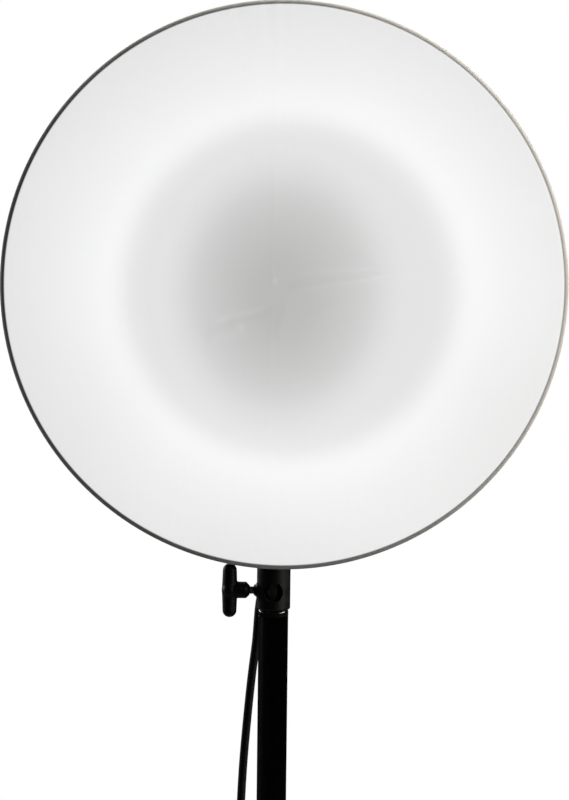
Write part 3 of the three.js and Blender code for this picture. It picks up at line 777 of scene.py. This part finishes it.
def star_rays():
    """Short creases out from the middle of the cloth."""
    rays = []
    for k in range(STAR_RAYS):
        angle = 2 * math.pi * (k + rng.uniform(-0.25, 0.25)) / STAR_RAYS
        reach = rng.uniform(16, 46)
        tip = (STAR[0] + reach * math.cos(angle), STAR[1] + reach * math.sin(angle))
        width = rng.uniform(1.6, 3.4)
        height = rng.uniform(0.02, 0.05) * rng.choice((-1, 1))
        rays.append((STAR, tip, width, height))
    return rays


def fold_light(x, z, rays):
    """The share by which creases and dim spots change the glow."""
    dx, dz = FOLD_STEP
    slope = (relief(x + dx, z + dz, rays) - relief(x - dx, z - dz, rays)) / (2 * dz)
    light = np.clip(slope * FOLD_LIGHT, -FOLD_LIGHT_MOST, FOLD_LIGHT_MOST)
    for azimuth, r, size, share in DIM_SPOTS:
        spot_x, spot_z = on_circle(0, 0, r, azimuth)
        light -= share * np.exp(-((x - spot_x) ** 2 + (z - spot_z) ** 2) / size ** 2)
    return light


def elastic_hem(turns, swell):
    """The cloth's elastic edge, ruffled where the cloth is gathered."""
    low, high = CLOTH_END + 0.2, CLOTH_END + 4.6
    band = eased([
        (CLOTH_R - 0.5, low), (CLOTH_R + 1.2, low), (CLOTH_R + 2.1, CLOTH_END + 1.6),
        (CLOTH_R + 2.1, CLOTH_END + 3.2), (CLOTH_R + 1.2, high), (CLOTH_R - 0.5, high),
    ], 0.8)
    rows = []
    for r, y in band:
        outside = max(r - CLOTH_R, 0)
        ruffle = 0.22 * outside * np.sin(turns * HEM_WAVES + 0.8) * swell
        rows.append([
            ((r + out) * math.cos(a), y + 0.25 * out, (r + out) * math.sin(a))
            for a, out in zip(turns, ruffle)])
    obj = rings("elastic_hem_look", rows, LAMP, ring=True)
    return piece(obj, "elastic", "elastic_hem", angle=60, weighted=False)


def diffuser():
    """The cloth: a flat front with creases, a rounded edge, and a side gathered at its end."""
    rays = star_rays()
    count = 480
    flat_rows = 132
    turn_rows = 7
    side_rows = 22
    flat_r = CLOTH_R - CLOTH_EDGE
    side_y = CLOTH_FRONT + CLOTH_EDGE
    turns = np.linspace(0, 2 * np.pi, count, endpoint=False)
    profile = [(r, CLOTH_FRONT) for r in np.linspace(0, flat_r, flat_rows)]
    profile += arc(flat_r, side_y, CLOTH_EDGE, -90, 0, turn_rows)[1:]
    profile += [(CLOTH_R, y) for y in np.linspace(side_y, CLOTH_END, side_rows)[1:]]
    gathers = np.array([rng.uniform(0.6, 1.0) for _ in range(HEM_GATHERS)])
    swell = np.interp(
        np.linspace(0, HEM_GATHERS, count, endpoint=False), np.arange(HEM_GATHERS), gathers)
    rows = []
    for r, y in profile:
        x, z = r * np.cos(turns), r * np.sin(turns)
        proud = relief(x, z, rays)
        depth = (y - CLOTH_FRONT) / (CLOTH_END - CLOTH_FRONT)
        front = np.clip(1 - depth * 9, 0, 1)
        gather = 0.75 * depth ** 3 * swell * (1 + np.sin(turns * HEM_WAVES)) / 2
        reach = 1 + (gather + 0.25 * (1 - front) * proud.clip(0)) / max(r, 1)
        rows.append(list(zip(x * reach, y - proud * front, z * reach)))
    obj = rings("diffuser_cloth_look", rows, LAMP)
    # rings() merges the points at the middle, so the light is set by place
    places = np.array([v.co for v in obj.data.vertices], float) / MM - np.array(LAMP) / MM
    light = fold_light(places[:, 0], places[:, 2], rays)
    attribute = obj.data.attributes.new("fold_light", "FLOAT", "POINT")
    attribute.data.foreach_set("value", light.astype(np.float32))
    piece(obj, "cloth", "diffuser_cloth", angle=60, weighted=False)
    hem = elastic_hem(turns, swell)


# ---- Lamp head ----
def head():
    lip = arc(CLOTH_R - CLOTH_EDGE, CLOTH_FRONT + CLOTH_EDGE, CLOTH_EDGE - 1, 0, -90, 6)
    shell = [
        (HOLE_R, PAN_BACK - WALL), (HOLE_R + WALL, PAN_BACK), (HOLE_R + 9, PAN_BACK),
        (HOLE_R + 10, PAN_BACK - 0.8), (HOUSING_R - 13, PAN_BACK - 0.8), (HOUSING_R - 12, PAN_BACK),
        (HOUSING_R - 3, PAN_BACK), (HOUSING_R, PAN_BACK - 3), *lip,
        (HOUSING_R - 5.4, CLOTH_FRONT + 2.4), (HOUSING_R - WALL, CLOTH_FRONT + 6),
        (HOUSING_R - WALL, PAN_BACK - 4), (HOUSING_R - 4, PAN_BACK - WALL),
        (HOLE_R + WALL, PAN_BACK - WALL), (HOLE_R + WALL, CLOTH_FRONT + 1.4),
        (HOLE_R, CLOTH_FRONT + 1.4),
    ]
    piece(lathe("ring_housing", eased(shell, 0.8), LAMP, "Y", 160, ring=True),
          "black_shell", "housing_shell", angle=50)

    back = PAN_BACK - WALL - 0.4
    lip_y = back - 19.6
    pan = [
        (HOLE_R + 11, back), (HOUSING_R - 11, back),
        (HOUSING_R - 3.4, lip_y), (HOUSING_R - 4.3, lip_y),
        (HOUSING_R - 11.7, back - 0.9), (HOLE_R + 11.7, back - 0.9),
        (HOLE_R + 4.5, lip_y), (HOLE_R + 3.6, lip_y),
    ]
    piece(lathe("reflector_pan_look", eased(pan, 0.4), LAMP, "Y", 128, ring=True),
          "white_enamel", "reflector_pan", angle=50)

    for name, r in TUBE_RINGS.items():
        gap = math.degrees(TUBE_GAP / r)
        line = [(x, TUBE_Y, z) for x, z in arc(0, 0, r, gap / 2 - 90, 270 - gap / 2, 140)]
        piece(sweep(f"tube_{name}_look", line, TUBE_R, 20, LAMP), "tube_glass", f"tube_{name}")
        refined(f"lamp_base_{name}", "white_plastic", 0.8, 3)
    refined("lampholder_block", "white_plastic", 0.8, 3)
    for i in range(3):
        refined(f"tube_clip_{i + 1}", "white_plastic", 0.25)

    refined("control_box", "black_plastic", 0.7, 3)
    for i in range(2):
        refined(f"rocker_switch_{i + 1}", "gloss_plastic", 0.5, 3)
        refined(f"ballast_{i + 1}", "ballast_can", 0.6)
    for i, (x, z) in enumerate([(-67, -143), (67, -143), (-67, -182), (67, -182)]):
        at = LAMP + Vector((x, BOX_BACK - 0.5, z)) * MM
        screw(f"cover_screw_{i + 1}", at, 2.9, 1.9, body="head")
    gland()


def screw(name, at, r, height, *nodes, body=None):
    """A pan head screw facing +Y, with a cross recess."""
    shoulder = 0.45 * height
    dome = [(x, min(y, height)) for x, y in arc(0, shoulder, r, 0, 90, 5)[1:-1]]
    made = lathe(name, [(0, 0), (r, 0), (r, shoulder), *dome, (0, height)], at, "Y", 32)
    for u, v in ((0.62 * r, 0.16 * r), (0.16 * r, 0.62 * r)):
        bar = rounded_box(-u, u, -v, v, 0.1 * r, 2)
        boolean(made, prism("recess", bar, shoulder, height + 1, at, "Y"))
    return piece(made, "steel", *nodes, body=body)


def gland():
    """A cable gland: a hexagon nut, a dome and a ribbed sleeve over the lead."""
    at = LAMP + Vector((*GLAND, BOX_LOW)) * MM
    nut = prism("cable_gland_look", hexagon(8.4), -6, -0.3, at)
    soften(nut, 0.7, segments=3)
    sleeve = [(LEAD_R + 0.1, -20.3), (4.1, -20.3), (4.4, -19.8)]
    for k in range(4):
        z = -19.4 + 2.6 * k
        r = 4.6 + 0.22 * k
        sleeve += [(r, z), (r, z + 1.4), (r - 0.6, z + 1.6), (r - 0.6, z + 2.3)]
    sleeve += [(6.0, -9.2), (7.1, -8.2), (7.2, -5.5), (LEAD_R + 0.1, -5.5)]
    union(nut, lathe("sleeve", sleeve, at, "Z", 48, ring=True))
    boolean(nut, rod(-30, 5, LEAD_R + 0.1, at))
    piece(nut, "black_plastic", "cable_gland")


# ---- Tilt joint and socket ----
def lobed(r, count, depth):
    """A knob's outline. Its lobes rise and fall by depth, a share of its radius."""
    turns = around(120)
    reach = [r * (1 + depth * math.cos(count * a)) for a in turns]
    return [(d * math.cos(a), d * math.sin(a)) for d, a in zip(reach, turns)]


def tilt_joint():
    refined("tilt_bracket", "black_paint", 0.4)
    for i, x in enumerate((-9, 20)):
        at = PIVOT + Vector((x, PAN_BACK + 3.2, 12)) * MM
        screw(f"bracket_screw_{i + 1}_look", at, 4, 2.6, f"bracket_screw_{i + 1}")
    shank = [(0, -9.2), (2.6, -9.2), (3.1, -8.6), (3.1, 8.7), (0, 8.7)]
    bolt = lathe("tilt_bolt_look", shank, PIVOT, "X", 32)
    nut = prism("nut", hexagon(6.5), 8.7, 14, PIVOT, "X")
    soften(nut, 0.5)
    piece(union(bolt, nut), "steel", "tilt_bolt")

    knob = prism("tilt_knob_look", lobed(12.6, 6, 0.07), -23, -11, PIVOT, "X")
    soften(knob, 1.8, 60, 4)
    union(knob, rod(-12, -5.7, 7.5, PIVOT, "X"))
    boolean(knob, rod(-10, -4, 3.5, PIVOT, "X"), rod(-24, -21.6, 5.5, PIVOT, "X"))
    piece(knob, "black_plastic", "tilt_knob")


def socket():
    """A barrel over the spigot with a cross hole, and a tongue up to the tilt bolt."""
    tongue_z = (PIVOT.z - SOCKET.z) / MM
    barrel = eased([
        (0, 0), (SOCKET_R - 1, 0), (SOCKET_R, 1), (SOCKET_R, SOCKET_H - 1.4),
        (SOCKET_R - 1.4, SOCKET_H), (0, SOCKET_H),
    ], 0.8, ring=False)
    body = lathe("socket_body_look", barrel, SOCKET, steps=96)
    tongue = [(-12, SOCKET_H - 4), (12, SOCKET_H - 4), *arc(0, tongue_z, 12, 0, 180, 32)]
    blade = prism("tongue", tongue, -5, 5, SOCKET, "X")
    soften(blade, 0.5, 60)
    clamp = SOCKET + Vector((0, 0, CLAMP_Z)) * MM
    flare = [
        (0, -17), (4.3, -17), (4.5, -16.7), (5.1, -15.7), (6.0, -14.8), (7.2, -14.1),
        (8.2, -12), (0, -12),
    ]
    union(body, blade, lathe("flare", flare, clamp, "X", 48))
    boolean(body, rod(-5, BORE_TOP, BORE_R, SOCKET, steps=64))
    cross = SOCKET + Vector((0, 0, CROSS_Z)) * MM
    mouth_r = CROSS_R + 0.5
    mouth = [
        (0, -20), (mouth_r, -20), (mouth_r, -13.4), (CROSS_R, -12.6),
        (CROSS_R, 12.6), (mouth_r, 13.4), (mouth_r, 20), (0, 20),
    ]
    boolean(body, lathe("mouth", mouth, cross, "Y", 64))
    boolean(body, rod(-20, 0, 3.7, clamp, "X"), rod(-10, 10, 3.4, PIVOT, "X"))
    piece(body, "black_plastic", "socket_body", angle=32)
    t_handle(clamp)
    clamp_screw(clamp)


def t_handle(at):
    """A bar with round ends, a thick middle and a boss, melted into one."""
    bar_at = at + Vector((BAR_X, 0, 0)) * MM
    bar = [
        *arc(0, -BAR_REACH - BAR_LOW_MORE, BAR_R, -90, -10, 8), (6.35, -9), (6.6, -3),
        (6.6, 3), (6.35, 9), *arc(0, BAR_REACH, BAR_R, 10, 90, 8),
    ]
    handle = lathe("t_handle_look", bar, bar_at, steps=48)
    hub = lathe("hub", arc(0, 0, 1000, -90, 90, 24), (0, 0, 0), steps=48)
    hub_size = Matrix.Diagonal((6.9 * MM, 8.0 * MM, 8.6 * MM, 1))
    hub.data.transform(Matrix.Translation(bar_at) @ hub_size)
    boss = [(0, -37), (7.1, -37), (7.1, -23.9), (6.9, -23.5), (4.0, -20.6), (0, -20.6)]
    union(handle, hub, lathe("boss", boss, at, "X", 48))
    modify(handle, "REMESH", mode="VOXEL", voxel_size=0.45 * MM)
    modify(handle, "SMOOTH", factor=0.5, iterations=3)
    boolean(handle, rod(-30, -15, 3.6, at, "X"))
    piece(handle, "black_plastic", "t_handle", angle=55, weighted=False)


def clamp_screw(at):
    """A threaded rod along X, thinner at its ends."""
    low, high = -29.6, -8.4
    r, pitch, depth = 3.45, 1.25, 0.5
    taper_length = 1.2
    steps, sides = 6, 36                 # along one turn of the thread, and round the rod
    rows = []
    for k in range(int((high - low) / pitch * steps) + 1):
        h = min(low + k * pitch / steps, high)
        taper = min(1.0, (h - low) / taper_length, (high - h) / taper_length)
        row = []
        for s, a in enumerate(around(sides)):
            phase = (h / pitch - s / sides) % 1
            reach = r - depth * abs(2 * phase - 1) - 0.8 * (1 - taper)
            row.append((h, reach * math.cos(a), reach * math.sin(a)))
        rows.append(row)
    obj = rings("clamp_screw_look", rows, at, ends=True)
    piece(obj, "brass", "clamp_screw", angle=70, weighted=False)


# ---- Mast and base tube ----
def tube(node, bore, r, low, high, at):
    """A painted tube, open at both ends."""
    wall = eased([(bore, low), (r, low), (r, high), (bore, high)], 0.3)
    piece(lathe(node + "_look", wall, at, steps=80, ring=True), "black_paint", node)


def mast():
    spigot = eased([
        (0, -25), (4.6, -25), (4.6, 0.3), (9.6, 0.3), (9.6, 0.9), (SPIGOT_R, 0.9),
        (SPIGOT_R, 26), (SPIGOT_R - 1.2, 27.2), (0, 27.2),
    ], 0.25, ring=False)
    piece(lathe("spigot_look", spigot, MAST_TOP, steps=72), "alloy", "spigot")
    plug_ring = [
        (5, -25), (MAST_BORE - 0.5, -25), (MAST_BORE - 0.3, PLUG_SKIRT), (MAST_R + 0.1, -4.3),
        *arc(MAST_R - 1.7, -0.9, 1.8, 0, 90, 8), (10.2, PLUG_LIP), (10.2, 0), (5, 0),
    ]
    piece(lathe("mast_end_plug_look", plug_ring, MAST_TOP, steps=80, ring=True),
          "gloss_black", "mast_end_plug", slot="black_plastic", angle=35)
    low = (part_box("mast_tube")[0].z - MAST_TOP.z) / MM
    tube("mast_tube", MAST_BORE, MAST_R, low, PLUG_SKIRT, MAST_TOP)

    base_low, base_high = (v.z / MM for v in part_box("base_tube"))
    tube("base_tube", BASE_BORE, BASE_R, base_low, base_high, AXIS)
    cap = eased([
        (0, -4), (14, -4), (15, -2.5), (15, -0.3), (13.4, -0.3), (13.4, 8), (0, 8),
    ], 0.5, ring=False)
    at = AXIS + Vector((0, 0, base_low)) * MM
    piece(lathe("base_end_cap_look", cap, at, steps=64), "black_plastic", "base_end_cap")

    refined("mast_collar", "black_plastic", 0.5, 3)
    refined("spider_collar", "black_plastic", 0.5, 3)
    refined("tripod_hub", "black_plastic", 0.4)
    clamp_knob("collar_knob", 0, MAST_R + 0.5, 26.4)
    clamp_knob("spider_knob", 30, BASE_R + 0.5, 27.4)


def clamp_knob(node, azimuth, tip, x):
    """A five-lobed knob with a dished face, from x outwards, on a stud whose end is at tip."""
    at = Vector((AXIS.x, AXIS.y, middle(node).z))
    turn = Matrix.Rotation(math.radians(azimuth), 4, "Z")
    knob = prism(node + "_look", lobed(15, 5, 0.09), x + 6, x + 18, at, "X", turn=turn)
    soften(knob, 2.2, 60, 4)
    union(knob, rod(x, x + 8, 7.5, at, "X", turn=turn))
    dish = [(0, x + 16.4), (5, x + 16.6), (8.5, x + 18.4), (0, x + 19)]
    boolean(knob, lathe("dish", dish, at, "X", 48, turn=turn))
    piece(knob, "black_plastic", node)
    stud = rod(tip, x + 2, 3, at, "X", 32, turn=turn)
    stud.name = node + "_stud"
    soften(stud, 0.3, 50)
    piece(stud, "steel", body=NODES[node]["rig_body"])


# ---- Tripod ----
def rivet(node, low, high, turn, heads=2):
    """A riveted pin along Y, domed at both ends or at the low end alone."""
    dome = [(PIN_HEAD_R, 0.3), (PIN_HEAD_R, 0.7), (3.2, 1.4), (1.6, 1.8), (0, 1.9)]
    profile = [(r, low - h) for r, h in reversed(dome)] + [(PIN_R, low - 0.3)]
    if heads == 2:
        profile += [(PIN_R, high + 0.3)] + [(r, high + h) for r, h in dome]
    else:
        profile += [(PIN_R, high - 0.2), (2.3, high), (0, high)]
    piece(lathe(node + "_look", profile, AXIS, "Y", 28, turn=turn), "steel", node, angle=30)


def shift(x, z):
    return Matrix.Translation(Vector((x, 0, z)) * MM)


def leg(k, turn):
    """A flattened tube with holes for its own pin and the strut's."""
    bore = [side - 2 * LEG_WALL for side in LEG_OVAL]
    made = prism(f"leg_{k}_look", flat_oval(*LEG_OVAL), -7, LEG_LENGTH - 6.4, AXIS,
                 inner=flat_oval(*bore), turn=turn)
    boolean(made, *(
        rod(-10, 10, PIN_HOLE_R, AXIS, "Y", 24, turn @ shift(0, z)) for z in (0, STRUT_AT)))
    soften(made, 0.3, 40)
    piece(made, "black_paint", f"leg_{k}")


def foot(k, turn):
    """A rubber ball cut flat at the floor, with a grooved sleeve over the leg's end."""
    width, thickness = LEG_OVAL
    made = lathe(f"foot_{k}_look", arc(0, 0, 12, -90, 90, 24), AXIS, steps=40,
                 turn=turn @ shift(0, LEG_LENGTH))
    sleeve = prism("sleeve", flat_oval(width + 4.6, thickness + 5), LEG_LENGTH - 28, LEG_LENGTH,
                   AXIS, turn=turn)
    soften(sleeve, 0.9, 60, 3)
    union(made, sleeve)
    for n in range(3):
        z = LEG_LENGTH - 25 + 3.2 * n
        boolean(made, prism("groove", flat_oval(30, 24), z, z + 1.0, AXIS, turn=turn,
                            inner=flat_oval(width + 3.4, thickness + 3.8)))
    boolean(made, prism("seat", flat_oval(width + 0.6, thickness + 0.6), LEG_LENGTH - 30,
                        LEG_LENGTH - 6, AXIS, turn=turn))
    under = rounded_box(-900, 900, -900, 900, 1, 1)
    boolean(made, prism("floor_cut", under, -80, 0, (0, 0, 0)))
    soften(made, 0.25, 50)
    piece(made, "rubber", f"foot_{k}")


def legs():
    strut_pin = (LEG_R + STRUT_AT * math.sin(LEG_ANGLE), LEG_Z - STRUT_AT * math.cos(LEG_ANGLE))
    run, rise = strut_pin[0] - HUB_R, strut_pin[1] - HUB_Z
    strip = arc(math.hypot(run, rise), 0, STRUT_R, -90, 90, 14) + arc(0, 0, STRUT_R, 90, 270, 14)
    low_head = [(0, 7), (PIN_HEAD_R, 7), (PIN_HEAD_R, 8.8), (3.2, 9.4), (1.6, 9.7), (0, 9.8)]
    for k, azimuth in enumerate(AZIMUTHS, 1):
        face = Matrix.Rotation(math.radians(azimuth), 4, "Z")
        leg_top, strut_top, strut_low = (
            face @ shift(*pin) for pin in ((LEG_R, LEG_Z), strut_pin, (HUB_R, HUB_Z)))
        down = leg_top @ Matrix.Rotation(math.pi - LEG_ANGLE, 4, "Y")
        leg(k, down)
        foot(k, down)

        strut = prism(f"brace_{k}_look", strip, *STRUT_Y, AXIS, "Y",
                      turn=strut_low @ Matrix.Rotation(-math.atan2(rise, run), 4, "Y"))
        boolean(strut, rod(0, 12, PIN_HOLE_R, AXIS, "Y", 24, strut_top))
        soften(strut, 0.5, 60)
        union(strut, lathe("low_head", low_head, AXIS, "Y", 28, turn=strut_low))
        piece(strut, "black_paint", f"brace_{k}")

        rivet(f"leg_pin_{k}", -8.6, 8.6, leg_top)
        rivet(f"brace_top_pin_{k}", -5, 8.4, strut_top)
        rivet(f"brace_low_pin_{k}", 1.6, 5.1, strut_low, heads=1)


# ---- Studio: a pale floor, a warm soft key from the right, a side light from the left,
# soft light above and behind, and two low lights on the stand and the floor ----
def area_light(name, place, target, size, power, colour, spread_angle=180):
    lamp = bpy.data.lights.new(name, "AREA")
    lamp.shape = "DISK"
    lamp.size = size
    lamp.energy = power
    lamp.color = colour
    lamp.spread = math.radians(spread_angle)
    obj = bpy.data.objects.new(name, lamp)
    scene.collection.objects.link(obj)
    obj.location = place
    obj.rotation_euler = (Vector(target) - Vector(place)).to_track_quat("-Z", "Y").to_euler()
    obj.visible_camera = False
    return obj


def studio():
    slab = [(0, -2), (FLOOR_R, -2), (FLOOR_R, -0.6), (0, -0.6)]
    floor = lathe("floor", slab, (0, 0, 0), steps=128)
    pale = surface("pale_floor", ((0.62, 0.62, 0.61), (0.65, 0.65, 0.64)), (0.6, 0.75), 3.0, 0.02)
    # Pale to the camera, darker to the light that bounces up from it
    tree = pale.node_tree
    seen = add(tree, "LightPath").outputs["Is Camera Ray"]
    shader = next(node for node in tree.nodes if node.type == "BSDF_PRINCIPLED")
    colour = shader.inputs["Base Color"].links[0].from_socket
    quiet = add(tree, "Mix", {0: seen, 6: (0.2, 0.2, 0.2, 1), 7: colour}, data_type="RGBA")
    tree.links.new(quiet.outputs[2], shader.inputs["Base Color"])
    floor.data.materials.append(pale)
    key = area_light("key", LAMP + Vector((1.88, 0.0, 0.9)), LAMP, 1.3, 5.6, (1.0, 0.94, 0.84), 60)
    area_light("side", LAMP + Vector((-2.2, 0.5, 0.0)), LAMP, 1.2, 3.0, (1.0, 1.0, 1.0))
    area_light("top", (0.1, 0.25, 2.6), LAMP, 1.0, 5.8, (1.0, 0.98, 0.95), 130)
    area_light("back", (-0.9, 2.4, 1.7), LAMP, 1.4, 12, (0.97, 0.98, 1.0))
    feet = (0, 0, 0.1)
    low_right = area_light("low_right", (1.7, -0.9, 1.1), feet, 1.2, 3.0, (1.0, 0.99, 0.97), 75)
    low_left = area_light("low_left", (-1.7, 1.1, 1.1), feet, 1.2, 3.0, (1.0, 1.0, 1.0), 75)
    # These three leave out the mast tube, which the photo shows almost black
    flagged = bpy.data.collections.new("flagged")
    flagged.objects.link(bpy.data.objects["mast_tube_look"])
    for item in flagged.collection_objects:
        item.light_linking.link_state = "EXCLUDE"
    for light in (key, low_right, low_left):
        light.light_linking.receiver_collection = flagged
    # A white world to the camera, which lights the lamp only faintly
    world = bpy.data.worlds.new("studio")
    scene.world = world
    world.use_nodes = True
    tree = world.node_tree
    seen = add(tree, "LightPath").outputs["Is Camera Ray"]
    strength = add(tree, "MapRange", {0: seen, 3: 0.012, 4: 1.0}).outputs[0]
    background = tree.nodes["Background"]
    background.inputs["Color"].default_value = (1, 1, 1, 1)
    tree.links.new(strength, background.inputs["Strength"])
    scene.view_settings.view_transform = "Standard"
    scene.view_settings.look = "None"


lead()
diffuser()
head()
tilt_joint()
socket()
mast()
legs()
studio()
